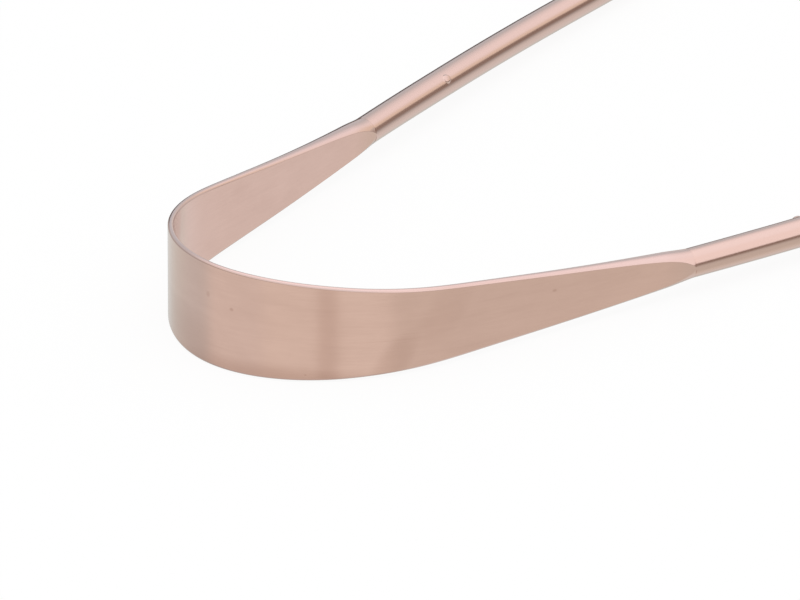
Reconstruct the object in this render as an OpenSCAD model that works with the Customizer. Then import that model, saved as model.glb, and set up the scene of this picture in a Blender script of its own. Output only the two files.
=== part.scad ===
// Tongue scraper: a copper rod, rolled flat into a springy bow and left round at its two handles.
// Millimetres, +Z up, +X from the bow towards the handles, +Y to the left handle.
// The tool lies on a table, on the crown of its bow and on both handle ends.
// The origin is on the table, under the middle of its length.

/* [Scraping band] */
// Width of the flat band at the crown of the bow
band_w = 12.7; // [9:0.1:16]
// Thickness of the flat band
band_t = 0.5; // [0.3:0.05:0.9]
// Length of band, from the crown to each side, with an even bend
round_len = 25.5; // [18:0.5:30]
// Length of band, on each side, over which that bend eases out to straight
ease_len = 7.5; // [4:0.5:14]
// Length of band, from the crown to each side, that is bent tighter still
crown_len = 20; // [12:0.5:24]
// How much tighter it is at the very crown, as a share of the even bend
crown_share = 0.54; // [0:0.02:1]
// Angle between each straight arm and the middle line
splay = 12.4; // [4:0.1:20]

/* [Arms] */
// Length of each straight arm, from the end of the bend to the handle
arm_len = 28.6; // [26:0.1:40]
// Width that the taper of an arm is heading for at the handle
arm_end_w = 3.7; // [3.7:0.1:5]
// Share of the way from crown to handle over which the full width starts to taper
taper_start_share = 0.28; // [0.15:0.01:0.5]
// Length over which the flat sides run out into the round rod
flat_fade = 11; // [6:0.5:14]
// Length over which they first leave the rod's round sides
flat_start = 1; // [0.2:0.1:2]
// Steepness of that run-out
flat_fade_power = 0.68; // [0.6:0.01:1]
// Length over which the width draws in from the taper's end to the round rod
width_fade = 3.4; // [1.5:0.1:5]
// Length over which the edges change from the rod's roundness to the band's
edge_fade = 8; // [3:0.5:10]
// Length at the end of each arm that sweeps upwards and outwards
rise_len = 22.5; // [8:0.5:25]
// Angle by which the handles rise above the plane of the bow
rise = 2.9; // [0.5:0.05:5]
// Angle by which the handles start out wider than the arms
flare = 1.2; // [0:0.1:2]

/* [Shanks] */
// Diameter of the round rod
rod_d = 3.5; // [3:0.1:3.7]
// Length of each shank, which bows gently inwards
shank_len = 40; // [30:1:60]
// Radius of that gentle bow
bowed_r = 450; // [350:10:1500]
// Diameter of the ball whose cap is the small round pip on each shank
pip_d = 1.4; // [1:0.05:1.7]
// Height of the pip above the rod
pip_out = 0.2; // [0.15:0.01:0.3]
// Distance of the pip from the arm
pip_at = 15.4; // [8:0.2:22]
// Length of straight rod that carries the pip
pip_seat_len = 4; // [2:0.5:6]
// Angle of the pip above the inner side of the rod
pip_turn = 40; // [0:1:80]

/* [Grips] */
// Length of the straight end of each handle, without its domed tip
grip_len = 40; // [20:1:60]

/* [Hidden] */

// Copper, as it looks under a white lamp
copper = [0.80, 0.64, 0.56];

// Facets: rings along the band, points round each of its edges, and the fineness of the round rod
bow_steps = 48;
arm_steps = 28;
edge_steps = 10;
ring_points = 2 * (edge_steps + 1);
rod_fn = 64;

// The flats fade out to a last trace, this share of the rod's thickness, where the arm meets the handle
flat_trace_share = 0.998;

bow_len = round_len + ease_len;
join_s = bow_len + arm_len;
rise_s = join_s - rise_len;
rod_r = rod_d / 2;
deg = 180 / PI;

// Degrees of bend per millimetre where the bow has its even bend
bend_rate = (90 - splay) / (round_len + ease_len / 2 + crown_share * crown_len / 3);
// Radius of the upward sweep
rise_r = rise_len * deg / rise;

// Slope of the even taper and the curve that leads into it, for a width that falls from 1 to 0
taper_slope = 2 / (2 - taper_start_share);
taper_curve = taper_slope / (2 * taper_start_share);

// Share of the sweep at the end of an arm that lies behind a distance s from the crown
function swept(s) = max(s - rise_s, 0) / rise_len;

// Plan direction of the middle line at a distance s from the crown, measured from +X
function heading(s) =
    let(
        tight_left = max(1 - s / crown_len, 0),
        tight = crown_share * crown_len / 3 * (1 - pow(tight_left, 3)),
        eased = max(min(s, bow_len) - round_len, 0),
        straight = max(s - bow_len, 0)
    )
    90 - bend_rate * (s + tight - eased * eased / (2 * ease_len) - straight) + flare * swept(s);

// Points of the middle line round the bow, walked from the crown in equal steps
bow_step = bow_len / bow_steps;
function ahead(angle) = [cos(angle), sin(angle)];
function walk_on(p, i) = p + bow_step * ahead(heading((i + 0.5) * bow_step));
bow_walk = [for (i = 0, p = [0, 0]; i <= bow_steps; p = walk_on(p, i), i = i + 1) p];
bow_end = bow_walk[bow_steps];

// Point of the middle line on the left arm
function arm_point(s) =
    let(
        climb = rise * swept(s),
        run = min(s, rise_s) - bow_len + rise_r * sin(climb),
        out = rise_len * swept(s) * sin(flare * swept(s)) / 2,
        flat = bow_end + run * ahead(splay) + out * ahead(splay + 90)
    )
    [flat.x, flat.y, rise_r * (1 - cos(climb))];
join_point = arm_point(join_s);
join_heading = heading(join_s);

// Width, thickness and edge radius of the section at a distance s from the crown
function taper(share) =
    share < taper_start_share ? 1 - taper_curve * share * share : taper_slope * (1 - share);
function section_w(s) =
    let(
        full = arm_end_w + (band_w - arm_end_w) * taper(s / join_s),
        near = min((join_s - s) / width_fade, 1)
    )
    full - (arm_end_w - rod_d) * (1 - near * near * (3 - 2 * near));
function section_t(s) =
    let(from_join = norm([join_s - s, flat_start]) - flat_start)
    band_t + (rod_d * flat_trace_share - band_t) * exp(-pow(from_join / flat_fade, flat_fade_power));
function edge_r(s) =
    let(half_t = section_t(s) / 2)
    half_t + (rod_r - half_t) * exp(-(join_s - s) / edge_fade);

// Outline of the section: two flats joined by two arcs, as [across, up] pairs
function outline(s) =
    let(
        r = edge_r(s),
        reach = asin(section_t(s) / (2 * r)),
        arc_z = section_w(s) / 2 - r
    )
    [
        for (side = [1, -1], i = [0:edge_steps])
            let(a = reach * (1 - 2 * i / edge_steps))
            side * [-r * sin(a), arc_z + r * cos(a)]
    ];

// One ring of points round the middle line, square to it
function ring(p, s) =
    let(
        plan = ahead(heading(s)),
        slope = rise * swept(s)
    )
    [
        for (q = outline(s))
            [
                p.x - q.x * plan.y - q.y * sin(slope) * plan.x,
                p.y + q.x * plan.x - q.y * sin(slope) * plan.y,
                p.z + q.y * cos(slope)
            ]
    ];

// Rings along the left half of the bow, and along the left arm, closer together near the handle
bow_rings = [for (i = [0:bow_steps]) ring([bow_walk[i].x, bow_walk[i].y, 0], i * bow_step)];
arm_rings = [
    for (i = [0:arm_steps])
        let(s = join_s - arm_len * pow(1 - i / arm_steps, 2))
        ring(arm_point(s), s)
];

// The right half of the bow mirrors the left half
function mirrored(points) = [for (p = points) [p.x, -p.y, p.z]];
whole_bow_rings = concat([for (i = [bow_steps:-1:1]) mirrored(bow_rings[i])], bow_rings);

// Each shank bows on both sides of the short straight stretch that carries its pip
lead_len = pip_at - pip_seat_len / 2;
tail_len = shank_len - lead_len - pip_seat_len;

// Where a point past a bowed stretch lies, for a stretch that starts at zero along +X
function past_bowed(len, p) =
    let(turn = len * deg / bowed_r)
    [
        bowed_r * sin(turn) + p.x * cos(turn) + p.y * sin(turn),
        bowed_r * (cos(turn) - 1) - p.x * sin(turn) + p.y * cos(turn)
    ];

// Middle of a domed tip, along and across the handle, then in the bow's own frame
rod_end = past_bowed(lead_len, [pip_seat_len, 0] + past_bowed(tail_len, [grip_len, 0]));
end_x = join_point.x + rod_end.x * cos(rise) * cos(join_heading) - rod_end.y * sin(join_heading);
end_z = join_point.z + rod_end.x * sin(rise);

// The tool lies level on the round lower edge of its crown and on its two domed tips
crown_edge_r = edge_r(0);
crown_edge_z = crown_edge_r - section_w(0) / 2;
to_end = [end_x, end_z - crown_edge_z];
lie = atan2(to_end.y, to_end.x) - asin((rod_r - crown_edge_r) / norm(to_end));

// Reach along X as it lies, and height of the middle of the crown above the table
back_x = crown_edge_z * sin(lie) - crown_edge_r;
front_x = end_x * cos(lie) + end_z * sin(lie) + rod_r;
crown_z = crown_edge_r - crown_edge_z * cos(lie);

// Turns the bow's own frame, with its origin at the middle of the crown, to the way the tool lies
module lay_down() {
    translate([-(back_x + front_x) / 2, 0, crown_z])
        rotate([0, lie, 0])
            children();
}

// A closed skin over rings that all have the same number of points
module loft(rings) {
    n = ring_points;
    last = len(rings) - 1;
    sides = [
        for (k = [0:last - 1], i = [0:n - 1])
            let(a = k * n + i, b = k * n + (i + 1) % n)
            each [[a, a + n, b], [b, a + n, b + n]]
    ];
    caps = [
        [for (i = [0:n - 1]) i],
        [for (i = [n - 1:-1:0]) last * n + i]
    ];
    polyhedron(points = [for (r = rings) each r], faces = concat(sides, caps), convexity = 4);
}

// The flat scraping band, from the end of one bend, round the crown, to the end of the other
module scraping_bow() {
    color(copper)
        lay_down()
            loft(whole_bow_rings);
}

// A tapered arm: flat and wide at the bow, round at the handle
module left_arm() {
    color(copper)
        lay_down()
            loft(arm_rings);
}

module right_arm() {
    color(copper)
        lay_down()
            mirror([0, 1, 0])
                loft(arm_rings);
}

// Moves to the end of a bowed stretch that starts at zero along +X, and turns along it
module past_bowed_rod(len) {
    turn = len * deg / bowed_r;
    translate([bowed_r * sin(turn), bowed_r * (cos(turn) - 1), 0])
        rotate([0, 0, -turn])
            children();
}

// A stretch of round rod that bows towards -Y, from zero forwards, or backwards if len is negative
module bowed_rod(len) {
    translate([0, -bowed_r, 0])
        rotate([0, 0, 90])
            rotate_extrude(angle = -len * deg / bowed_r, $fn = rod_fn)
                translate([bowed_r, 0])
                    circle(r = rod_r, $fn = rod_fn);
}

// A shank along +X: a bowed stretch, the short straight stretch with the pip, and a bowed stretch
module shank() {
    past_bowed_rod(lead_len) {
        bowed_rod(-lead_len);
        rotate([0, 90, 0])
            cylinder(r = rod_r, h = pip_seat_len, $fn = rod_fn);
        translate([pip_seat_len / 2, 0, 0])
            rotate([-pip_turn, 0, 0])
                translate([0, pip_d / 2 - rod_r - pip_out, 0])
                    sphere(d = pip_d, $fn = rod_fn);
        translate([pip_seat_len, 0, 0])
            bowed_rod(tail_len);
    }
}

// Half an outline, along Y, of a grip with its domed tip
module grip_profile() {
    square([rod_r, grip_len]);
    translate([0, grip_len])
        intersection() {
            circle(r = rod_r, $fn = rod_fn);
            square(rod_r);
        }
}

// A grip along +X, past the end of the shank
module grip() {
    past_bowed_rod(lead_len)
        translate([pip_seat_len, 0, 0])
            past_bowed_rod(tail_len)
                rotate([0, 90, 0])
                    rotate_extrude($fn = rod_fn)
                        grip_profile();
}

// Turns +X to the line of the left arm where it meets the handle
module at_arm_end() {
    translate(join_point)
        rotate([0, -rise, join_heading])
            children();
}

// A shank is a round rod that bows gently inwards and carries the pip
module left_shank() {
    color(copper)
        lay_down()
            at_arm_end()
                shank();
}

module right_shank() {
    color(copper)
        lay_down()
            mirror([0, 1, 0])
                at_arm_end()
                    shank();
}

// A grip is the straight, domed end of a handle
module left_grip() {
    color(copper)
        lay_down()
            at_arm_end()
                grip();
}

module right_grip() {
    color(copper)
        lay_down()
            mirror([0, 1, 0])
                at_arm_end()
                    grip();
}

scraping_bow();
left_arm();
right_arm();
left_shank();
right_shank();
left_grip();
right_grip();
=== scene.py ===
"""The looks of a copper tongue scraper: a flat band bent into a bow, with two round rod handles.

The strip is one rod, rolled flat in the middle. Each stretch of it is a piece of its own here, as in
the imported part, and rides on the part's single body. Lengths are in metres and angles in radians,
unless a docstring says otherwise.
"""

import logging
import math
from collections.abc import Iterable
from dataclasses import dataclass
from enum import Enum

import bmesh
import bpy
from bmesh.types import BMEdge, BMesh, BMLayerItem, BMVert
from mathutils import Matrix, Vector


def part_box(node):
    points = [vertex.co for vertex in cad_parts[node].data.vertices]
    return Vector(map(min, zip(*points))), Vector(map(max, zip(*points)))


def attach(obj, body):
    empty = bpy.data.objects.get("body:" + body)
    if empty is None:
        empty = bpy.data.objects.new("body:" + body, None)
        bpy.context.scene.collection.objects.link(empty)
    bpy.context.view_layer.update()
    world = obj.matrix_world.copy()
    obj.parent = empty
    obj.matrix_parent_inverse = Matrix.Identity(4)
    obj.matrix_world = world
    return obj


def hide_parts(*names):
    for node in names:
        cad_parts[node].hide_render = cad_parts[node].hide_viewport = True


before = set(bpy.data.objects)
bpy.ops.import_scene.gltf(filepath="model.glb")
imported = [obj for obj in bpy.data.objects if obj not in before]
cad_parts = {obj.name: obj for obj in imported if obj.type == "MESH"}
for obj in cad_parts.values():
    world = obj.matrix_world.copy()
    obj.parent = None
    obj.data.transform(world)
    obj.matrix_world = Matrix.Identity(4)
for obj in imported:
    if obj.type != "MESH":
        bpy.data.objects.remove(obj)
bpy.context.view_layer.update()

MM = 0.001
BODY = "root"
# Attributes of a piece's points: how far along, up and across the strip they lie, and 1 on a round edge
GRAIN = "grain"
RIM = "rim"
WHITE = (1.0, 1.0, 1.0, 1.0)
NOISE_MEAN = 0.5
# A Mix node's colour sockets, by number, because its other kinds of socket have the same names
MIX_AMOUNT = 0
MIX_FIRST = 6
MIX_SECOND = 7
MIX_COLOUR = 2
log = logging.getLogger("tongue_scraper")


class Side(Enum):
    """The two arms and handles, by the sign of Y."""

    LEFT = 1
    RIGHT = -1

    @property
    def word(self) -> str:
        """The side's name as the part's nodes spell it."""
        return self.name.lower()

    @property
    def flip(self) -> Matrix:
        """Mirrors what is built for the left side to this side."""
        return Matrix.Diagonal((1, self.value, 1, 1))


@dataclass(frozen=True)
class Station:
    """One place on the middle line.

    Args:
        point: The place, in the bow's own frame.
        heading: Direction in plan, from +X.
        slope: Upward slope.
    """

    point: Vector
    heading: float
    slope: float

    def matrix(self) -> Matrix:
        """Turns local +X to the line's direction and local +Y to its left, at this place."""
        turn = Matrix.Rotation(self.heading, 4, "Z") @ Matrix.Rotation(-self.slope, 4, "Y")
        return Matrix.Translation(self.point) @ turn


@dataclass(frozen=True)
class MiddleLine:
    """The line through the middle of the strip, from the crown of the bow to the left handle.

    It bends evenly round the bow, tighter at the crown, eases out to a straight arm, and sweeps
    upwards and a little outwards at the handle.

    Args:
        round_len: Length of the even bend, from the crown.
        ease_len: Length over which the bend eases out.
        crown_len: Length over which the crown's tighter bend fades.
        crown_share: How much tighter the bend is at the crown.
        arm_len: Length of an arm.
        splay: Angle by which an arm opens.
        rise_len: Length of the sweep at an arm's end.
        rise: Angle by which the sweep climbs.
        flare: Angle by which the sweep turns outwards.
        walk_step: Longest step in adding up the bend.
    """

    round_len: float = 25.5 * MM
    ease_len: float = 7.5 * MM
    crown_len: float = 20.0 * MM
    crown_share: float = 0.54
    arm_len: float = 28.6 * MM
    splay: float = math.radians(12.4)
    rise_len: float = 22.5 * MM
    rise: float = math.radians(2.9)
    flare: float = math.radians(1.2)
    walk_step: float = 0.05 * MM

    @property
    def bow_len(self) -> float:
        """Length from the crown to the end of the bend."""
        return self.round_len + self.ease_len

    @property
    def join_s(self) -> float:
        """Length from the crown to the handle."""
        return self.bow_len + self.arm_len

    def swept(self, s: float) -> float:
        """Share of the sweep at the end of an arm that lies behind a distance from the crown."""
        return max(s - self.join_s + self.rise_len, 0.0) / self.rise_len

    def heading(self, s: float) -> float:
        """Direction in plan at a distance from the crown.

        Args:
            s: Distance along the line.

        Returns:
            The angle from +X.
        """
        tight_len = self.crown_share * self.crown_len / 3
        rate = (math.pi / 2 - self.splay) / (self.round_len + self.ease_len / 2 + tight_len)
        tight = tight_len * (1 - max(1 - s / self.crown_len, 0.0) ** 3)
        eased = max(min(s, self.bow_len) - self.round_len, 0.0)
        straight = max(s - self.bow_len, 0.0)
        bent = rate * (s + tight - eased * eased / (2 * self.ease_len) - straight)
        return math.pi / 2 - bent + self.flare * self.swept(s)

    def stations(self, distances: Iterable[float]) -> list[Station]:
        """Places on the left half of the line.

        Args:
            distances: Rising distances from the crown.

        Returns:
            One station for each distance.
        """
        found = []
        walked, place = 0.0, Vector((0, 0, 0))
        for s in distances:
            bend_end = min(s, self.bow_len)
            steps = math.ceil((bend_end - walked) / self.walk_step)
            for i in range(steps):
                step = (bend_end - walked) / steps
                place = place + step * self._ahead(self.heading(walked + (i + 0.5) * step))
            walked = max(walked, bend_end)
            found.append(self._station(s, place))
        return found

    def end(self) -> Matrix:
        """Where the line ends and the left handle starts, with +X along it."""
        return self.stations([self.bow_len, self.join_s])[-1].matrix()

    def _ahead(self, heading: float) -> Vector:
        """A step of length 1 in plan."""
        return Vector((math.cos(heading), math.sin(heading), 0))

    def _station(self, s: float, bend_end: Vector) -> Station:
        """Adds the straight arm and its sweep to a place walked round the bow.

        Args:
            s: Distance from the crown.
            bend_end: The place walked to, at most as far as the end of the bend.

        Returns:
            The station.
        """
        share = self.swept(s)
        climb, turn = self.rise * share, self.flare * share
        radius = self.rise_len / self.rise
        rise_s = self.join_s - self.rise_len
        run = max(min(s, rise_s) - self.bow_len, 0.0) + radius * math.sin(climb)
        out = self.rise_len * share * math.sin(turn) / 2
        point = bend_end + run * self._ahead(self.splay) + out * self._ahead(self.splay + math.pi / 2)
        point.z = radius * (1 - math.cos(climb))
        return Station(point, self.heading(s), climb)


@dataclass(frozen=True)
class Section:
    """The strip's cross-section: two flats joined by two round edges.

    Args:
        line: The middle line.
        band_w: Height of the band at the crown.
        band_t: Thickness of the band.
        arm_end_w: Height to which the taper runs.
        taper_start_share: Share of the line over which the taper sets in.
        flat_fade: Length over which the flats thicken into the rod.
        flat_fade_power: How sudden that is.
        flat_start: Length that rounds off its start at the join.
        width_fade: Length over which the taper's end comes down to the rod.
        edge_fade: Length over which the round edges grow to the rod's radius.
        rod_r: Radius of the rod.
        flat_trace_share: Share of the rod's thickness at the join, which keeps a trace of the flats.
        crease_soft: Width of the rounding on each side of a corner.
        crease_share: Largest share of the flat that the rounding takes.
        edge_steps: Steps round an edge.
        flat_steps: Steps up a flat.
    """

    line: MiddleLine
    band_w: float = 12.7 * MM
    band_t: float = 0.5 * MM
    arm_end_w: float = 3.7 * MM
    taper_start_share: float = 0.28
    flat_fade: float = 11.0 * MM
    flat_fade_power: float = 0.68
    flat_start: float = 1.0 * MM
    width_fade: float = 3.4 * MM
    edge_fade: float = 8.0 * MM
    rod_r: float = 1.75 * MM
    flat_trace_share: float = 0.998
    crease_soft: float = 0.02 * MM
    crease_share: float = 0.05
    edge_steps: int = 14
    flat_steps: int = 14

    @property
    def points(self) -> int:
        """How many points the outline has."""
        return 2 * (self.edge_steps + self.flat_steps)

    def width(self, s: float) -> float:
        """Works out the strip's height.

        Args:
            s: Distance from the crown.

        Returns:
            The height.
        """
        share = s / self.line.join_s
        slope = 2 / (2 - self.taper_start_share)
        lead_in = slope / (2 * self.taper_start_share)
        taper = 1 - lead_in * share * share if share < self.taper_start_share else slope * (1 - share)
        full = self.arm_end_w + (self.band_w - self.arm_end_w) * taper
        near = min((self.line.join_s - s) / self.width_fade, 1.0)
        return full - (self.arm_end_w - 2 * self.rod_r) * (1 - near * near * (3 - 2 * near))

    def thickness(self, s: float) -> float:
        """Works out the thickness between the flats.

        Args:
            s: Distance from the crown.

        Returns:
            The thickness.
        """
        from_join = math.hypot(self.line.join_s - s, self.flat_start) - self.flat_start
        fade = math.exp(-((from_join / self.flat_fade) ** self.flat_fade_power))
        return self.band_t + (2 * self.rod_r * self.flat_trace_share - self.band_t) * fade

    def edge_radius(self, s: float) -> float:
        """Radius of the round edges: the band's half thickness, growing to the rod's radius."""
        half = self.thickness(s) / 2
        return half + (self.rod_r - half) * math.exp(-(self.line.join_s - s) / self.edge_fade)

    def low_edge(self) -> tuple[float, float]:
        """Radius of the crown's lower edge, and how high its centre lies from the middle line."""
        radius = self.edge_radius(0)
        return radius, radius - self.width(0) / 2

    def outline(self, s: float) -> list[tuple[float, float]]:
        """Points of the outline, in order round it.

        Args:
            s: Distance from the crown.

        Returns:
            Pairs of across (outwards on the left side) and up.
        """
        radius, half = self.edge_radius(s), self.thickness(s) / 2
        reach = math.asin(min(1.0, half / radius))
        centre = self.width(s) / 2 - radius
        corner = centre + radius * math.cos(reach)
        # A point close to each corner on both sides, so that smooth shading rounds only the corner
        last_edge, last_flat = self.edge_steps - 1, self.flat_steps - 1
        by_edge = reach - min(self.crease_soft / radius, reach / self.edge_steps)
        by_flat = corner - min(self.crease_soft, corner * self.crease_share)
        found = []
        for sign in (1, -1):
            for i in range(self.edge_steps):
                a = {1: by_edge, last_edge: -by_edge}.get(i, reach * (1 - 2 * i / self.edge_steps))
                found.append((-sign * radius * math.sin(a), sign * (centre + radius * math.cos(a))))
            for i in range(self.flat_steps):
                even = corner * math.cos(math.pi * i / self.flat_steps)
                up = {1: by_flat, last_flat: -by_flat}.get(i, even)
                found.append((sign * half, sign * up))
        return found

    def on_edge(self, i: int) -> bool:
        """Whether a point of the outline lies on a round edge or at its corners."""
        return i % (self.points // 2) <= self.edge_steps


@dataclass(frozen=True)
class Resting:
    """How the tool lies on the table: on the crown's lower edge and both domed tips.

    Args:
        section: The strip's cross-section.
        bowed_r: Radius of the handles' gentle bow.
        lead_len: Length of bowed rod before the pip's seat.
        pip_seat_len: Length of the straight seat of the pip.
        tail_len: Length of bowed rod past it.
        grip_len: Length of the straight grip, without its dome.
    """

    section: Section
    bowed_r: float = 450 * MM
    lead_len: float = 13.4 * MM
    pip_seat_len: float = 4 * MM
    tail_len: float = 22.6 * MM
    grip_len: float = 40 * MM

    def handle_matrices(self) -> tuple[Matrix, Matrix]:
        """Walks along a handle, from its start.

        Returns:
            Where the pip's seat and the grip start.
        """
        seat = self._past_bowed(self.lead_len)
        tail = seat @ Matrix.Translation((self.pip_seat_len, 0, 0))
        return seat, tail @ self._past_bowed(self.tail_len)

    def _past_bowed(self, length: float) -> Matrix:
        """Moves to the end of a bowed stretch that starts at zero along +X, and turns along it.

        Args:
            length: The stretch's length.

        Returns:
            The move.
        """
        turn, r = length / self.bowed_r, self.bowed_r
        end = Vector((r * math.sin(turn), r * (math.cos(turn) - 1), 0))
        return Matrix.Translation(end) @ Matrix.Rotation(-turn, 4, "Z")

    def lie(self) -> float:
        """Works out how far the bow's own frame tips forwards.

        Returns:
            The angle.
        """
        _, grip = self.handle_matrices()
        tip = self.section.line.end() @ grip @ Vector((self.grip_len, 0, 0))
        edge_r, edge_z = self.section.low_edge()
        reach = Vector((tip.x, tip.z - edge_z))
        return math.atan2(reach.y, reach.x) - math.asin((self.section.rod_r - edge_r) / reach.length)

    def matrix(self) -> Matrix:
        """Turns the bow's own frame, with its origin at the middle of the crown, to the row frame.

        Returns:
            The move and turn.
        """
        lie = self.lie()
        low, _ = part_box("scraping_bow")
        edge_r, edge_z = self.section.low_edge()
        x = low.x - (edge_z * math.sin(lie) - edge_r)
        z = edge_r - edge_z * math.cos(lie)
        return Matrix.Translation((x, 0, z)) @ Matrix.Rotation(lie, 4, "Y")


LINE = MiddleLine()
SECTION = Section(LINE)
RESTING = Resting(SECTION)


@dataclass(frozen=True)
class Value:
    """A shader socket that Python's operators work on.

    Args:
        tree: The node tree that the socket belongs to.
        socket: The output socket.
    """

    tree: "Shader"
    socket: bpy.types.NodeSocket

    def __add__(self, other: "Value | float") -> "Value":
        """This value plus another."""
        return self.tree.maths("ADD", self, other)

    def __radd__(self, other: float) -> "Value":
        """A number plus this value."""
        return self.tree.maths("ADD", other, self)

    def __sub__(self, other: "Value | float") -> "Value":
        """This value less another."""
        return self.tree.maths("SUBTRACT", self, other)

    def __rsub__(self, other: float) -> "Value":
        """A number less this value."""
        return self.tree.maths("SUBTRACT", other, self)

    def __mul__(self, other: "Value | float") -> "Value":
        """This value times another."""
        return self.tree.maths("MULTIPLY", self, other)

    def __rmul__(self, other: float) -> "Value":
        """A number times this value."""
        return self.tree.maths("MULTIPLY", other, self)

    def at_most(self, other: "Value | float") -> "Value":
        """The smaller of this value and another."""
        return self.tree.maths("MINIMUM", self, other)

    def step(self, low: float, high: float) -> "Value":
        """Rises smoothly from 0 to 1 as this value goes from low to high.

        Args:
            low: Where the rise starts.
            high: Where it ends.

        Returns:
            The risen value.
        """
        node = self.tree.node(
            "ShaderNodeMapRange",
            {"interpolation_type": "SMOOTHSTEP"},
            {"Value": self, "From Min": low, "From Max": high},
        )
        return node["Result"]


@dataclass(frozen=True)
class Outputs:
    """The outputs of one node, by name.

    Args:
        tree: The node tree that the node belongs to.
        node: The node.
    """

    tree: "Shader"
    node: bpy.types.Node

    def __getitem__(self, name: str | int) -> Value:
        """One output, ready for Python's operators."""
        return Value(self.tree, self.node.outputs[name])


class Shader:
    """A node tree that is being written.

    Args:
        tree: The node tree, which is emptied first.
    """

    def __init__(self, tree: bpy.types.NodeTree) -> None:
        """Keeps the tree and empties it."""
        self.tree = tree
        tree.nodes.clear()

    def node(
        self,
        kind: str,
        settings: dict[str, object] | None = None,
        inputs: dict[str | int, object] | None = None,
    ) -> Outputs:
        """Adds a node.

        Args:
            kind: The node's type.
            settings: The node's own settings, set before its sockets.
            inputs: Values or links of its sockets, by name or number.

        Returns:
            The node's outputs.
        """
        node = self.tree.nodes.new(kind)
        for name, value in (settings or {}).items():
            setattr(node, name, value)
        for name, value in (inputs or {}).items():
            socket = node.inputs[name]
            if isinstance(value, Value):
                self.tree.links.new(value.socket, socket)
            else:
                socket.default_value = value
        return Outputs(self, node)

    def maths(self, operation: str, *values: "Value | float") -> Value:
        """Adds a Math node.

        Args:
            operation: What it works out.
            values: Its inputs.

        Returns:
            The result.
        """
        return self.node("ShaderNodeMath", {"operation": operation}, dict(enumerate(values)))["Value"]

    def mix(self, amount: "Value | float", first: object, second: object) -> Value:
        """Mixes two colours.

        Args:
            amount: Share of the second colour.
            first: A colour, as four numbers or a value.
            second: A colour, as four numbers or a value.

        Returns:
            The mixed colour.
        """
        node = self.node(
            "ShaderNodeMix",
            {"data_type": "RGBA", "clamp_factor": True},
            {MIX_AMOUNT: amount, MIX_FIRST: first, MIX_SECOND: second},
        )
        return node[MIX_COLOUR]


def rgba(colour: tuple[float, float, float]) -> tuple[float, float, float, float]:
    """A colour with full alpha."""
    return (*colour, 1.0)


@dataclass(frozen=True)
class Noise:
    """Smooth noise in the metal, stretched along the strip.

    Args:
        along: Bumps to the metre along the strip.
        across: Bumps to the metre up and across it.
        detail: Finer layers on top of the first.
        rough: Weight of the finer layers.
        dulling: How much it mixes in the dull colour.
        roughening: How much it changes the roughness.
        relief: Its height, as a share of the depth of the grain's lines.
    """

    along: float
    across: float
    detail: float
    rough: float
    dulling: float = 0.0
    roughening: float = 0.0
    relief: float = 0.0

    def read(self, shader: Shader, vector: Value) -> Value:
        """Adds the noise to a material.

        Args:
            shader: The material's tree.
            vector: Coordinates.

        Returns:
            Noise about its mean.
        """
        scale = (self.along, self.across, self.across)
        placed = shader.node("ShaderNodeMapping", None, {"Vector": vector, "Scale": scale})
        texture = shader.node(
            "ShaderNodeTexNoise",
            {"noise_dimensions": "3D"},
            {"Vector": placed["Vector"], "Scale": 1.0, "Detail": self.detail, "Roughness": self.rough},
        )
        return texture["Fac"]


@dataclass(frozen=True)
class Mark:
    """A soft darker spot on one face of the flat strip. Some are stains, smudges and a scratch; others are
    painted shade.

    Args:
        s: Distance from the crown along the strip, negative on the right side.
        up: Height of its middle above the strip's middle line.
        half_len: Half its length along the strip.
        half_up: Half its height.
        amount: How strongly it darkens.
        outer: Whether it lies on the outer face.
        slant: How far it leans along the strip for each metre up.
        face_blend: Distance from the middle of the strip at which it is there in full.
    """

    s: float
    up: float
    half_len: float
    half_up: float
    amount: float
    outer: bool = True
    slant: float = 0.0
    face_blend: float = 0.1 * MM

    def mask(self, along: Value, up: Value, across: Value) -> Value:
        """Where the mark lies.

        Args:
            along: Distance from the crown at each point.
            up: Height above the middle line at each point.
            across: Distance out from the middle of the strip at each point.

        Returns:
            Its amount in the middle, down to 0 at its rim.
        """
        raised = up - self.up
        far = (along - self.s - raised * self.slant) * (1 / self.half_len)
        high = raised * (1 / self.half_up)
        face = (across * (1 if self.outer else -1)).step(0.0, self.face_blend)
        return (1 - (far * far + high * high).step(0.0, 1.0)) * face * self.amount


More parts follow.
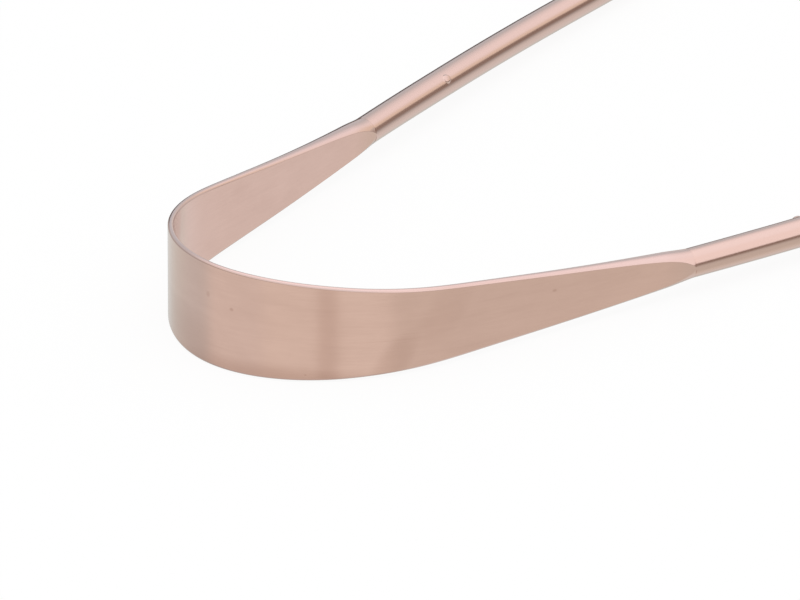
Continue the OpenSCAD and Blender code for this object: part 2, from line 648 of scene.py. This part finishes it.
@dataclass(frozen=True)
class Copper:
    """Bare copper, with its grain along the strip.

    Args:
        name: The material's name.
        clean: Colour of clean metal.
        dull: Colour where it has dulled.
        stain_and_shade: Colour of stains, and of the painted shade that some marks lay on.
        roughness: How rough the metal is.
        grain_depth: Depth of the grain's lines.
        lines_per_mm: How fine the grain is across the strip.
        line_stretch: How many times as long as wide the grain's lines are.
        dullness: Share of the dull colour, on average.
        broad: Broad streaks along the strip.
        cloud: Soft changes of tone.
        specks: Noise whose peaks are small stains.
        speck_from: Heights of that noise between which a stain comes in.
        stains: How much the small stains darken.
        worn: Colour towards the handles, where the metal is handled.
        worn_from: Distances from the crown between which it turns to that colour.
        rim: Colour of the strip's round edges.
        marks: Stains, smudges and a scratch, and patches of painted shade.
    """

    name: str
    clean: tuple[float, float, float] = (0.675, 0.470, 0.385)
    dull: tuple[float, float, float] = (0.625, 0.430, 0.350)
    stain_and_shade: tuple[float, float, float] = (0.36, 0.20, 0.145)
    roughness: float = 0.17
    grain_depth: float = 0.0004 * MM
    lines_per_mm: float = 9.0
    line_stretch: float = 50.0
    dullness: float = 0.38
    broad: Noise = Noise(70.0, 900.0, detail=3.0, rough=0.6, dulling=1.1, relief=0.6)
    cloud: Noise = Noise(150.0, 230.0, detail=4.0, rough=0.65, dulling=1.3, roughening=0.06)
    specks: Noise = Noise(700.0, 1100.0, detail=2.0, rough=0.7, roughening=0.05)
    speck_from: tuple[float, float] = (0.76, 0.83)
    stains: float = 0.5
    worn: tuple[float, float, float] = (0.590, 0.430, 0.357)
    worn_from: tuple[float, float] = (57.0 * MM, 63.0 * MM)
    rim: tuple[float, float, float] = (0.605, 0.447, 0.383)
    marks: tuple[Mark, ...] = ()

    def lines(self) -> Noise:
        """The grain's fine lines."""
        fine = self.lines_per_mm / MM
        return Noise(fine / self.line_stretch, fine, detail=3.0, rough=0.6, dulling=0.9, roughening=0.06)

    def material(self) -> bpy.types.Material:
        """Makes the material, which reads the piece's grain and rim attributes.

        Returns:
            The material.
        """
        made = bpy.data.materials.new(self.name)
        made.use_nodes = True
        shader = Shader(made.node_tree)
        grain = shader.node("ShaderNodeAttribute", {"attribute_name": GRAIN})["Vector"]
        place = shader.node("ShaderNodeSeparateXYZ", None, {"Vector": grain})
        fine = self.lines()
        lines = fine.read(shader, grain)
        broad = self.broad.read(shader, grain)
        cloud = self.cloud.read(shader, grain)
        specks = self.specks.read(shader, grain).step(*self.speck_from)
        roughness = (
            self.roughness
            + (lines - NOISE_MEAN) * fine.roughening
            + (cloud - NOISE_MEAN) * self.cloud.roughening
            + specks * self.specks.roughening
        )
        bump = shader.node(
            "ShaderNodeBump",
            None,
            {"Strength": 1.0, "Distance": self.grain_depth, "Height": lines + broad * self.broad.relief},
        )
        dullness = (
            self.dullness
            + (lines - NOISE_MEAN) * fine.dulling
            + (broad - NOISE_MEAN) * self.broad.dulling
            + (cloud - NOISE_MEAN) * self.cloud.dulling
        )
        colour = shader.mix(dullness, rgba(self.clean), rgba(self.dull))
        # A rod has no such attribute, which reads as 0
        rim = shader.node("ShaderNodeAttribute", {"attribute_name": RIM})["Fac"]
        colour = shader.mix(rim, colour, rgba(self.rim))
        handled = shader.maths("ABSOLUTE", place["X"]).step(*self.worn_from)
        colour = shader.mix(handled, colour, rgba(self.worn))
        colour = shader.mix(specks * self.stains, colour, rgba(self.stain_and_shade))
        # Marks darken the metal: stains, smudges and a scratch, and painted shade
        for mark in self.marks:
            mask = mark.mask(place["X"], place["Y"], place["Z"])
            colour = shader.mix(mask, colour, rgba(self.stain_and_shade))
        surface = shader.node(
            "ShaderNodeBsdfPrincipled",
            None,
            {"Base Color": colour, "Metallic": 1.0, "Roughness": roughness, "Normal": bump["Normal"]},
        )
        shader.node("ShaderNodeOutputMaterial", None, {"Surface": surface["BSDF"]})
        return made


def finish_piece(name: str, mesh: BMesh, placed: Matrix, finish: Copper) -> bpy.types.Object:
    """Turns a finished bmesh into a piece that stands for the CAD node of that name.

    Args:
        name: The CAD node's name.
        mesh: The bmesh, in the bow's own frame.
        placed: From the bow's own frame to the row frame.
        finish: The piece's metal.

    Returns:
        The piece, riding on the part's body.
    """
    bmesh.ops.transform(mesh, matrix=placed, verts=mesh.verts)
    bmesh.ops.recalc_face_normals(mesh, faces=mesh.faces)
    data = bpy.data.meshes.new(name)
    mesh.to_mesh(data)
    mesh.free()
    piece = bpy.data.objects.new(f"{name}_copper", data)
    bpy.context.scene.collection.objects.link(piece)
    data.materials.append(finish.material())
    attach(piece, BODY)
    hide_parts(name)
    log.info("%s: %d faces", piece.name, len(data.polygons))
    return piece


def grain_layer(mesh: BMesh) -> BMLayerItem:
    """Adds the layer that says how far along, up and across the strip each point lies."""
    return mesh.verts.layers.float_vector.new(GRAIN)


def close_tube(mesh: BMesh) -> None:
    """Smooths a tube, fills each open end with one face and keeps the ends' rims crisp.

    Args:
        mesh: The tube.
    """
    for face in mesh.faces:
        face.smooth = True
    rims = [e for e in mesh.edges if e.is_boundary]
    bmesh.ops.holes_fill(mesh, edges=rims, sides=0)
    for edge in rims:
        edge.smooth = False


def ring_edges(ring: list[BMVert]) -> list[BMEdge]:
    """The edges that join the points of a ring."""
    return list({e for v in ring for e in v.link_edges if e.other_vert(v) in ring})


def loft_strip(rings: list[tuple[float, Station, Side]]) -> BMesh:
    """Pushes the strip's outline along the middle line, ring by ring.

    Args:
        rings: For each ring, its distance from the crown, its place on the left half, and its side.

    Returns:
        A closed bmesh with smooth faces.
    """
    mesh = bmesh.new()
    grain = grain_layer(mesh)
    rim = mesh.verts.layers.float.new(RIM)
    count = SECTION.points
    ring = bmesh.ops.create_circle(mesh, segments=count, radius=SECTION.rod_r)["verts"]
    for number, (s, station, side) in enumerate(rings):
        place = side.flip @ station.matrix()
        if number:
            edges = [mesh.edges.get((ring[i - 1], ring[i])) for i in range(count)]
            made = bmesh.ops.extrude_edge_only(mesh, edges=edges)["geom"]
            fresh = {v for v in made if isinstance(v, BMVert)}
            ring = [next(e.other_vert(v) for e in v.link_edges if e.other_vert(v) in fresh) for v in ring]
        for i, (vert, (across, up)) in enumerate(zip(ring, SECTION.outline(s))):
            vert.co = place @ Vector((0, across, up))
            vert[grain] = (side.value * s, up, across)
            vert[rim] = float(SECTION.on_edge(i))
    close_tube(mesh)
    return mesh


@dataclass
class ScrapingBow:
    """The flat springy band, from one end of the bend round the crown to the other.

    Args:
        finish: Its metal.
        steps: Stretches between its rings, on each side of the crown.
    """

    finish: Copper
    steps: int = 110

    def build(self) -> bpy.types.Object:
        """Builds and dresses the bow.

        Returns:
            The piece that stands for scraping_bow.
        """
        distances = [LINE.bow_len * i / self.steps for i in range(self.steps + 1)]
        left = list(zip(distances, LINE.stations(distances)))
        rings = [(s, station, Side.RIGHT) for s, station in reversed(left[1:])]
        rings += [(s, station, Side.LEFT) for s, station in left]
        mesh = loft_strip(rings)
        return finish_piece("scraping_bow", mesh, RESTING.matrix(), self.finish)


@dataclass
class Arm:
    """A straight tapered arm: flat and wide at the bow, round at the handle.

    Args:
        side: Its side of the tool.
        finish: Its metal.
        steps: Stretches between its rings.
    """

    side: Side
    finish: Copper
    steps: int = 110

    def build(self) -> bpy.types.Object:
        """Builds and dresses the arm.

        Returns:
            The piece that stands for the arm on this side.
        """
        # The rings stand closer together towards the handle, where the section changes most
        distances = [LINE.join_s - LINE.arm_len * (1 - i / self.steps) ** 2 for i in range(self.steps + 1)]
        rings = [(s, station, self.side) for s, station in zip(distances, LINE.stations(distances))]
        mesh = loft_strip(rings)
        name = f"{self.side.word}_arm"
        return finish_piece(name, mesh, RESTING.matrix(), self.finish)


@dataclass
class Shank:
    """The round rod between an arm and a grip, bowed gently inwards, with a small round pip.

    Args:
        side: Its side of the tool.
        finish: Its metal.
        around: Points round the rod.
        bow_steps: Stretches between the rings of a bowed part.
        seat_steps: Stretches between the rings of the pip's seat.
        pip_r: Radius of the pip.
        pip_out: How far it stands out of the rod.
        pip_turn: How far round the rod it lies, upwards from the inner side.
        pip_skirt: Width of the soft foot round it.
        pip_foot: Height of that foot.
        pip_dome: Share of its height that its top falls by, from its middle to its rim.
        pip_flatness: How flat its top is, as the power of its curve.
        pip_finer: Distances from it within which the faces' edges are halved, in turn.
        pip_reach: Distance from it within which the rod's points are moved.
    """

    side: Side
    finish: Copper
    around: int = 72
    bow_steps: int = 24
    seat_steps: int = 20
    pip_r: float = 0.55 * MM
    pip_out: float = 0.2 * MM
    pip_turn: float = math.radians(40)
    pip_skirt: float = 0.12 * MM
    pip_foot: float = 0.012 * MM
    pip_dome: float = 0.12
    pip_flatness: float = 4.0
    pip_finer: tuple[float, ...] = (1.3 * MM, 1.0 * MM)
    pip_reach: float = 1.5 * MM

    def build(self) -> bpy.types.Object:
        """Builds and dresses the shank.

        Returns:
            The piece that stands for the shank on this side.
        """
        mesh = bmesh.new()
        grain = grain_layer(mesh)
        seat, _ = RESTING.handle_matrices()
        rod_r = SECTION.rod_r
        upright = Matrix.Rotation(math.pi / 2, 4, "Y")
        first = bmesh.ops.create_circle(mesh, segments=self.around, radius=rod_r, matrix=upright)["verts"]
        self._spin(mesh, first, -RESTING.lead_len)
        ring = first
        for _ in range(self.seat_steps):
            ring = self._push(mesh, ring, RESTING.pip_seat_len / self.seat_steps)
        self._spin(mesh, ring, RESTING.tail_len, RESTING.pip_seat_len)
        for vert in mesh.verts:
            x, y, z = vert.co
            vert[grain] = (LINE.join_s + RESTING.lead_len + x, rod_r * math.atan2(z, y), 0)
        self._raise_pip(mesh, Vector((RESTING.pip_seat_len / 2, 0, 0)))
        close_tube(mesh)
        placed = RESTING.matrix() @ self.side.flip @ LINE.end() @ seat
        name = f"{self.side.word}_shank"
        return finish_piece(name, mesh, placed, self.finish)

    def _spin(self, mesh: BMesh, ring: list[BMVert], length: float, start: float = 0.0) -> None:
        """Sweeps a ring along a gentle bow.

        Args:
            mesh: The rod so far.
            ring: Its end ring.
            length: Length of the bow, negative to go backwards.
            start: Where the ring stands along the rod.
        """
        edges = ring_edges(ring)
        centre = (start, -RESTING.bowed_r, 0)
        angle = -length / RESTING.bowed_r
        bmesh.ops.spin(mesh, geom=edges, cent=centre, axis=(0, 0, 1), angle=angle, steps=self.bow_steps)

    def _push(self, mesh: BMesh, ring: list[BMVert], length: float) -> list[BMVert]:
        """Extrudes a ring straight along +X.

        Args:
            mesh: The rod so far.
            ring: Its end ring.
            length: How far.

        Returns:
            The new end ring.
        """
        made = bmesh.ops.extrude_edge_only(mesh, edges=ring_edges(ring))["geom"]
        fresh = [v for v in made if isinstance(v, BMVert)]
        bmesh.ops.translate(mesh, vec=(length, 0, 0), verts=fresh)
        return fresh

    def _raise_pip(self, mesh: BMesh, seat: Vector) -> None:
        """Refines the rod round the pip and raises it, with a soft foot where it meets the rod.

        Args:
            mesh: The rod.
            seat: The pip's place on the rod's axis.
        """
        out = Vector((0, -math.cos(self.pip_turn), math.sin(self.pip_turn)))
        centre = seat + out * SECTION.rod_r
        for reach in self.pip_finer:
            near = [f for f in mesh.faces if (f.calc_center_median() - centre).length < reach]
            edges = list({e for f in near for e in f.edges})
            bmesh.ops.subdivide_edges(mesh, edges=edges, cuts=1, use_grid_fill=True)
        for vert in mesh.verts:
            radial = Vector((0, vert.co.y, vert.co.z))
            if (vert.co - centre).length > self.pip_reach or radial.length < SECTION.rod_r / 2:
                continue
            radial.normalize()
            on_rod = Vector((vert.co.x, 0, 0)) + radial * SECTION.rod_r
            away = (on_rod - centre).length / self.pip_r
            if away < 1:
                top = SECTION.rod_r + self.pip_out * (1 - self.pip_dome * away * away)
                share = math.sqrt(1 - away**self.pip_flatness)
                vert.co = on_rod + out * (top - on_rod.dot(out)) * share
            else:
                fall = (away - 1) * self.pip_r / self.pip_skirt
                vert.co = on_rod + radial * self.pip_foot * math.exp(-fall * fall)


@dataclass
class Grip:
    """The straight round end of a handle, with its domed tip.

    Args:
        side: Its side of the tool.
        finish: Its metal.
        around: Points round the rod.
        dome_steps: Stretches between the dome's rings.
        length_steps: Stretches between the rings of the straight part.
        weld: Distance within which points are joined.
        start_slack: Distance within which points count as at the grip's start.
    """

    side: Side
    finish: Copper
    around: int = 72
    dome_steps: int = 14
    length_steps: int = 40
    weld: float = 0.002 * MM
    start_slack: float = 0.001 * MM

    def build(self) -> bpy.types.Object:
        """Builds and dresses the grip.

        Returns:
            The piece that stands for the grip on this side.
        """
        mesh = bmesh.new()
        grain = grain_layer(mesh)
        rod_r, length = SECTION.rod_r, RESTING.grip_len
        profile = [(0.0, 0.0)]
        profile += [(length * i / self.length_steps, rod_r) for i in range(self.length_steps + 1)]
        for i in range(1, self.dome_steps + 1):
            a = math.pi / 2 * i / self.dome_steps
            profile.append((length + rod_r * math.sin(a), rod_r * math.cos(a)))
        chain = [bmesh.ops.create_vert(mesh, co=(x, y, 0))["vert"][0] for x, y in profile]
        edges = [
            bmesh.ops.contextual_create(mesh, geom=[chain[i], chain[i + 1]])["edges"][0]
            for i in range(len(chain) - 1)
        ]
        turn = {"cent": (0, 0, 0), "axis": (1, 0, 0), "angle": 2 * math.pi, "steps": self.around}
        bmesh.ops.spin(mesh, geom=chain + edges, use_merge=True, **turn)
        bmesh.ops.remove_doubles(mesh, verts=mesh.verts, dist=self.weld)
        start = LINE.join_s + RESTING.lead_len + RESTING.pip_seat_len + RESTING.tail_len
        for vert in mesh.verts:
            x, y, z = vert.co
            vert[grain] = (start + x, rod_r * math.atan2(z, y), 0)
        for face in mesh.faces:
            face.smooth = True
        for edge in mesh.edges:
            ends = [math.hypot(v.co.y, v.co.z) for v in edge.verts]
            if all(v.co.x < self.start_slack for v in edge.verts) and min(ends) > rod_r / 2:
                edge.smooth = False
        _, grip = RESTING.handle_matrices()
        placed = RESTING.matrix() @ self.side.flip @ LINE.end() @ grip
        name = f"{self.side.word}_grip"
        return finish_piece(name, mesh, placed, self.finish)


@dataclass(frozen=True)
class Card:
    """A soft patch of the surroundings that only the metal shows. Its angles are in degrees.

    Args:
        colour: Its light.
        azimuth: Direction of its middle, from +X, or None if it goes all round.
        half_width: Half its width.
        softness: Width of each soft side.
        rises: Elevations between which it comes in, or None if it has no lower end.
        ends: Elevations between which it goes out again, or None if it has no upper end.
        strength: How much of what is below it covers.
    """

    colour: tuple[float, float, float]
    azimuth: float | None = None
    half_width: float = 90.0
    softness: float = 20.0
    rises: tuple[float, float] | None = None
    ends: tuple[float, float] | None = None
    strength: float = 1.0

    def over(self, shader: Shader, level: Value, height: Value, below: Value) -> Value:
        """Lays the card over what is there already.

        Args:
            shader: The world's tree.
            level: The direction's level part, with length 1.
            height: The direction's upward part.
            below: The colour so far.

        Returns:
            The colour with this card.
        """
        mask = self.strength
        if self.azimuth is not None:
            mask = self._facing(shader, level) * mask
        if self.rises is not None:
            mask = self._above(height, self.rises) * mask
        if self.ends is not None:
            mask = (1 - self._above(height, self.ends)) * mask
        return shader.mix(mask, below, rgba(self.colour))

    def _facing(self, shader: Shader, level: Value) -> Value:
        """Falls from 1 to 0 away from the card's own direction.

        Args:
            shader: The world's tree.
            level: The direction's level part, with length 1.

        Returns:
            The mask.
        """
        a = math.radians(self.azimuth)
        facing = shader.node(
            "ShaderNodeVectorMath",
            {"operation": "DOT_PRODUCT"},
            {0: level, 1: (math.cos(a), math.sin(a), 0.0)},
        )["Value"]
        outer = math.cos(math.radians(self.half_width + self.softness / 2))
        inner = math.cos(math.radians(max(self.half_width - self.softness / 2, 0.0)))
        return facing.step(outer, inner)

    def _above(self, height: Value, between: tuple[float, float]) -> Value:
        """Rises from 0 to 1 between two elevations."""
        start, full = between
        return height.step(math.sin(math.radians(start)), math.sin(math.radians(full)))


@dataclass(frozen=True)
class Surroundings:
    """What the metal mirrors: a pale table, a dim room at eye level, and a soft box above.

    Args:
        table: The table's light where no card stands.
        cards: Soft patches, from the first laid to the last.
    """

    table: tuple[float, float, float] = (0.985, 0.980, 0.970)
    cards: tuple[Card, ...] = (
        # Tones of the table
        Card((0.94, 0.94, 0.95), 152, 26, 14),
        Card((0.79, 0.84, 0.88), 78, 53, 18),
        Card((0.79, 0.84, 0.84), 55, 40, 40),
        Card((0.87, 0.86, 0.845), 277, 24, 12),
        Card((1.01, 1.02, 1.07), 347, 20, 14),
        Card((0.84, 0.80, 0.78), 218.5, 5.0, 4),
        # The room round it
        Card((0.60, 0.62, 0.66), 345, 50, 40, rises=(-32, -6)),
        Card((0.39, 0.31, 0.285), rises=(-18, -1)),
        Card((0.72, 0.70, 0.70), 190, 62, 30, rises=(-9, 2), strength=0.75),
        Card((0.94, 0.90, 0.90), 14, 37, 7, rises=(-15, 0)),
        Card((0.60, 0.57, 0.56), 99, 31, 14, rises=(-16, -2)),
        Card((0.14, 0.12, 0.12), 56, 7, 3, rises=(-20, -14)),
        # The soft box, from its warm lower edge up
        Card((1.16, 1.05, 0.97), rises=(8, 13)),
        Card((1.38, 1.345, 1.47), rises=(16, 33)),
        Card((1.44, 1.38, 1.47), 287, 28, 24, rises=(6, 10)),
        Card((1.16, 1.19, 1.30), 190, 60, 40, rises=(14, 24)),
        Card((0.78, 0.85, 0.95), 70, 45, 60, rises=(3, 9), ends=(24, 60)),
        Card((1.50, 1.48, 1.62), rises=(44, 62)),
    )

    def colour(self, shader: Shader, direction: Value) -> Value:
        """Works out the light from a direction.

        Args:
            shader: The world's tree.
            direction: The direction.

        Returns:
            The light's colour.
        """
        flat = shader.node("ShaderNodeVectorMath", {"operation": "MULTIPLY"}, {0: direction, 1: (1, 1, 0)})
        level = shader.node("ShaderNodeVectorMath", {"operation": "NORMALIZE"}, {0: flat["Vector"]})["Vector"]
        height = shader.node("ShaderNodeSeparateXYZ", None, {"Vector": direction})["Z"]
        # The table's colour as a value, by mixing it with itself
        light = shader.mix(0.0, rgba(self.table), rgba(self.table))
        for card in self.cards:
            light = card.over(shader, level, height, light)
        return light


@dataclass
class Studio:
    """A pale table in soft light, and the camera.

    Args:
        floor_size: Side of the table.
        dome: Light that falls on the table from all round.
        floor_glow: Share of the table's look that is plain white for the camera, the rest keeps shadows.
        lamp_size: Side of the overhead lamp.
        lamp_power: Its power, in watts.
        lamp_at: Where it hangs.
        azimuth: Where the camera looks, from +Y towards +X in the bow's own frame.
        elevation: How far it looks down, in the bow's own frame.
        frame_px: The picture's size, in pixels.
        crown_px: Where the middle of the crown shows.
        frame_width: Width that the picture spans at the crown.
        distance: From the camera to the crown.
        sight: How far the camera sees, as a multiple of that distance.
        sensor: The camera's sensor width, in millimetres.
        surroundings: What the metal mirrors.
    """

    floor_size: float = 3.0
    dome: float = 0.87
    floor_glow: float = 0.9
    lamp_size: float = 0.9
    lamp_power: float = 1.6
    lamp_at: tuple[float, float, float] = (-0.25, -0.2, 0.9)
    azimuth: float = math.radians(43.073)
    elevation: float = math.radians(22.652)
    frame_px: tuple[int, int] = (800, 600)
    crown_px: tuple[float, float] = (212.43, 313.55)
    frame_width: float = 92.10 * MM
    distance: float = 2.4
    sight: float = 4.0
    sensor: float = 36.0
    surroundings: Surroundings = Surroundings()

    def build(self) -> None:
        """Makes the table, the surroundings, the lamp and the camera."""
        self._floor()
        self._world()
        self._lamp()
        self._camera()
        bpy.context.scene.view_settings.view_transform = "Standard"

    def _floor(self) -> None:
        """A white table, in whose place the metal mirrors the table of the surroundings."""
        mesh = bmesh.new()
        bmesh.ops.create_grid(mesh, x_segments=1, y_segments=1, size=self.floor_size / 2)
        data = bpy.data.meshes.new("table")
        mesh.to_mesh(data)
        mesh.free()
        floor = bpy.data.objects.new("table", data)
        floor.visible_glossy = False
        bpy.context.scene.collection.objects.link(floor)
        material = bpy.data.materials.new("table_pale")
        material.use_nodes = True
        shader = Shader(material.node_tree)
        path = shader.node("ShaderNodeLightPath")
        seen = (path["Is Camera Ray"] + path["Is Transmission Ray"]).at_most(1.0)
        lit = shader.node("ShaderNodeBsdfDiffuse", None, {"Color": WHITE})
        white = shader.node("ShaderNodeEmission", None, {"Color": WHITE, "Strength": 1.0})
        surface = shader.node(
            "ShaderNodeMixShader", None, {0: seen * self.floor_glow, 1: lit["BSDF"], 2: white["Emission"]}
        )
        shader.node("ShaderNodeOutputMaterial", None, {"Surface": surface["Shader"]})
        data.materials.append(material)

    def _world(self) -> None:
        """White behind everything; for the metal, the surroundings; for the table, plain light."""
        world = bpy.data.worlds.new("studio")
        world.use_nodes = True
        bpy.context.scene.world = world
        shader = Shader(world.node_tree)
        direction = shader.node("ShaderNodeTexCoord")["Generated"]
        path = shader.node("ShaderNodeLightPath")
        seen = (path["Is Camera Ray"] + path["Is Transmission Ray"]).at_most(1.0)
        plain = shader.mix(seen, rgba((self.dome,) * 3), WHITE)
        mirrored = self.surroundings.colour(shader, direction)
        colour = shader.mix(path["Is Glossy Ray"], plain, mirrored)
        back = shader.node("ShaderNodeBackground", None, {"Color": colour, "Strength": 1.0})
        shader.node("ShaderNodeOutputWorld", None, {"Surface": back["Background"]})

    def _lamp(self) -> None:
        """One large soft lamp overhead; the metal mirrors the soft box instead."""
        data = bpy.data.lights.new("overhead", "AREA")
        data.shape = "SQUARE"
        data.size = self.lamp_size
        data.energy = self.lamp_power
        lamp = bpy.data.objects.new("overhead", data)
        lamp.location = self.lamp_at
        lamp.rotation_euler = (-lamp.location).to_track_quat("-Z", "Y").to_euler()
        lamp.visible_camera = False
        lamp.visible_glossy = False
        bpy.context.scene.collection.objects.link(lamp)

    def _camera(self) -> None:
        """A long lens, level with the bow, that frames the bow as the photograph does."""
        own = RESTING.matrix()
        a, e = self.azimuth, self.elevation
        turn = own.to_3x3()
        right = turn @ Vector((math.cos(a), -math.sin(a), 0))
        ahead = turn @ Vector((math.sin(a) * math.cos(e), math.cos(a) * math.cos(e), -math.sin(e)))
        up = right.cross(ahead)
        px = self.frame_width / self.frame_px[0]
        centre = own.translation
        centre = centre + right * (self.frame_px[0] / 2 - self.crown_px[0]) * px
        centre = centre + up * (self.crown_px[1] - self.frame_px[1] / 2) * px
        data = bpy.data.cameras.new("camera")
        data.sensor_width = self.sensor
        data.lens = self.sensor * self.distance / self.frame_width
        data.clip_end = self.sight * self.distance
        camera = bpy.data.objects.new("camera", data)
        camera.matrix_world = Matrix.Translation(centre - ahead * self.distance) @ Matrix(
            (right, up, -ahead)
        ).transposed().to_4x4()
        bpy.context.scene.collection.objects.link(camera)
        bpy.context.scene.camera = camera


BAND_MARKS = (
    # Painted shade towards the crown's lower edge, where the band mirrors the table in its own shadow
    Mark(-9 * MM, -7.0 * MM, 19 * MM, 3.2 * MM, 0.42),
    Mark(7 * MM, -6.5 * MM, 11 * MM, 7.5 * MM, 0.24),
    # Small stains
    Mark(-3.2 * MM, 1.5 * MM, 0.35 * MM, 0.28 * MM, 0.30),
    Mark(0.4 * MM, 2.4 * MM, 0.4 * MM, 0.45 * MM, 0.22),
    Mark(-43.2 * MM, 1.2 * MM, 0.4 * MM, 0.25 * MM, 0.28),
    # A slanting patch of painted shade with a fine scratch in it, and a fainter slanting patch of painted
    # shade; both stand for darker table mirrored in the band
    Mark(-22.5 * MM, -3.6 * MM, 2.6 * MM, 4.2 * MM, 0.20, slant=-0.53),
    Mark(-21.8 * MM, -1.1 * MM, 5.2 * MM, 0.07 * MM, 0.12, slant=3.0),
    Mark(-28.5 * MM, 1.2 * MM, 3.6 * MM, 4.5 * MM, 0.10, slant=-0.53),
    # Smudges inside the left arm
    Mark(35 * MM, 2.3 * MM, 2.4 * MM, 1.1 * MM, 0.05, outer=False),
    Mark(40 * MM, -1.1 * MM, 3.0 * MM, 1.2 * MM, 0.06, outer=False),
    Mark(45 * MM, -1.8 * MM, 2.2 * MM, 0.9 * MM, 0.05, outer=False),
)


def main() -> None:
    """Builds the tool and its studio."""
    logging.basicConfig(level=logging.INFO, format="%(name)s %(message)s")
    band = Copper("rolled_copper", marks=BAND_MARKS)
    rod = Copper("drawn_copper", grain_depth=0.0003 * MM, lines_per_mm=7.0, stains=0.3)
    ScrapingBow(band).build()
    for side in Side:
        Arm(side, band).build()
        Shank(side, rod).build()
        Grip(side, rod).build()
    Studio().build()


if __name__ == "__main__":
    main()
